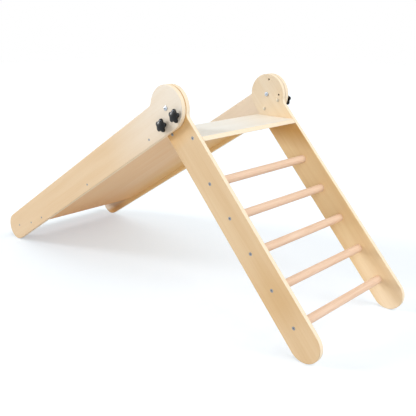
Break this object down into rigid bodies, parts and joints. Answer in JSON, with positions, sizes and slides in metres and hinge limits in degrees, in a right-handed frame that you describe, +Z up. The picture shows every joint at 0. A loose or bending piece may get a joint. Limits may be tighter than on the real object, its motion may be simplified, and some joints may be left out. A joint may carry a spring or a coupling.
{
  "type": "wooden slide ladder",
  "caption": "Toddler's plywood slide hinged to a leaning rung ladder with a level top step, held open or folded by star knobs.",
  "frame": {"origin": "on the floor, midway along the object's length and midway between its two sides", "axes": "+X along the floor from the slide's foot towards the ladder's foot, +Y from the near side to the far side, +Z up"},
  "size_m": [1.4596, 0.5188, 0.6687],
  "materials": {
    "rail_ply": "clear satin lacquer on birch plywood",
    "panel_ply": "clear satin lacquer on birch plywood",
    "step_ply": "clear satin lacquer on birch plywood",
    "board_ply": "smooth clear lacquer on birch plywood",
    "rung_beech": "sanded and lacquered beech",
    "zinc_steel": "bright zinc plating",
    "screw_steel": "zinc plating",
    "nylon": "moulded natural nylon",
    "knob_plastic": "moulded black thermoplastic, satin"
  },
  "bodies": {
    "ladder": {"ladder_rail_far": "rail_ply", "ladder_rail_near": "rail_ply", "lock_nut_far_high": "zinc_steel", "lock_nut_far_low": "zinc_steel", "lock_nut_near_high": "zinc_steel", "lock_nut_near_low": "zinc_steel", "pivot_bolt_far": "zinc_steel", "pivot_bolt_near": "zinc_steel", "pivot_nut_far": "zinc_steel", "pivot_nut_near": "zinc_steel", "pivot_washer_far": "nylon", "pivot_washer_near": "nylon", "rung_1": "rung_beech", "rung_2": "rung_beech", "rung_3": "rung_beech", "rung_4": "rung_beech", "rung_5": "rung_beech", "rung_screw_far_1": "screw_steel", "rung_screw_far_2": "screw_steel", "rung_screw_far_3": "screw_steel", "rung_screw_far_4": "screw_steel", "rung_screw_far_5": "screw_steel", "rung_screw_near_1": "screw_steel", "rung_screw_near_2": "screw_steel", "rung_screw_near_3": "screw_steel", "rung_screw_near_4": "screw_steel", "rung_screw_near_5": "screw_steel", "step_board": "step_ply", "step_screw_far_1": "screw_steel", "step_screw_far_2": "screw_steel", "step_screw_near_1": "screw_steel", "step_screw_near_2": "screw_steel", "threaded_insert_far_high": "zinc_steel", "threaded_insert_far_low": "zinc_steel", "threaded_insert_near_high": "zinc_steel", "threaded_insert_near_low": "zinc_steel"},
    "slide": {"board_screw_far_1": "screw_steel", "board_screw_far_2": "screw_steel", "board_screw_far_3": "screw_steel", "board_screw_far_4": "screw_steel", "board_screw_far_5": "screw_steel", "board_screw_near_1": "screw_steel", "board_screw_near_2": "screw_steel", "board_screw_near_3": "screw_steel", "board_screw_near_4": "screw_steel", "board_screw_near_5": "screw_steel", "slide_board": "board_ply", "slide_panel_far": "panel_ply", "slide_panel_near": "panel_ply"},
    "stud_near_low": {"knob_stud_near_low": "zinc_steel"},
    "knob_near_low": {"knob_head_near_low": "knob_plastic"},
    "stud_near_high": {"knob_stud_near_high": "zinc_steel"},
    "knob_near_high": {"knob_head_near_high": "knob_plastic"},
    "stud_far_low": {"knob_stud_far_low": "zinc_steel"},
    "knob_far_low": {"knob_head_far_low": "knob_plastic"},
    "stud_far_high": {"knob_stud_far_high": "zinc_steel"},
    "knob_far_high": {"knob_head_far_high": "knob_plastic"}
  },
  "joints": [
    {"name": "slide_fold", "type": "hinge", "parent": "ladder", "child": "slide", "pos_m": [0.19805, 0, 0.60383], "axis": [0, 1, 0], "range_deg": [0, 259.21]},
    {"name": "knob_near_low_travel", "type": "slide", "parent": "slide", "child": "stud_near_low", "axis": [0, 1, 0], "range_m": [0, 0.0075]},
    {"name": "knob_near_low_turn", "type": "hinge", "parent": "stud_near_low", "child": "knob_near_low", "pos_m": [0.19105, -0.2474, 0.55583], "axis": [0, 1, 0], "range_deg": [0, 2701]},
    {"name": "knob_near_high_travel", "type": "slide", "parent": "slide", "child": "stud_near_high", "axis": [0, 1, 0], "range_m": [0, 0.0075]},
    {"name": "knob_near_high_turn", "type": "hinge", "parent": "stud_near_high", "child": "knob_near_high", "pos_m": [0.24383, -0.2474, 0.5878], "axis": [0, 1, 0], "range_deg": [0, 2701]},
    {"name": "knob_far_low_travel", "type": "slide", "parent": "slide", "child": "stud_far_low", "axis": [0, -1, 0], "range_m": [0, 0.0075]},
    {"name": "knob_far_low_turn", "type": "hinge", "parent": "stud_far_low", "child": "knob_far_low", "pos_m": [0.19105, 0.2474, 0.55583], "axis": [0, -1, 0], "range_deg": [0, 2701]},
    {"name": "knob_far_high_travel", "type": "slide", "parent": "slide", "child": "stud_far_high", "axis": [0, -1, 0], "range_m": [0, 0.0075]},
    {"name": "knob_far_high_turn", "type": "hinge", "parent": "stud_far_high", "child": "knob_far_high", "pos_m": [0.24383, 0.2474, 0.5878], "axis": [0, -1, 0], "range_deg": [0, 2701]}
  ],
  "couplings": [
    {"joint": "knob_near_low_turn", "follows": "knob_near_low_travel", "rad_per_m": 6283.2},
    {"joint": "knob_near_high_turn", "follows": "knob_near_high_travel", "rad_per_m": 6283.2},
    {"joint": "knob_far_low_turn", "follows": "knob_far_low_travel", "rad_per_m": 6283.2},
    {"joint": "knob_far_high_turn", "follows": "knob_far_high_travel", "rad_per_m": 6283.2}
  ]
}
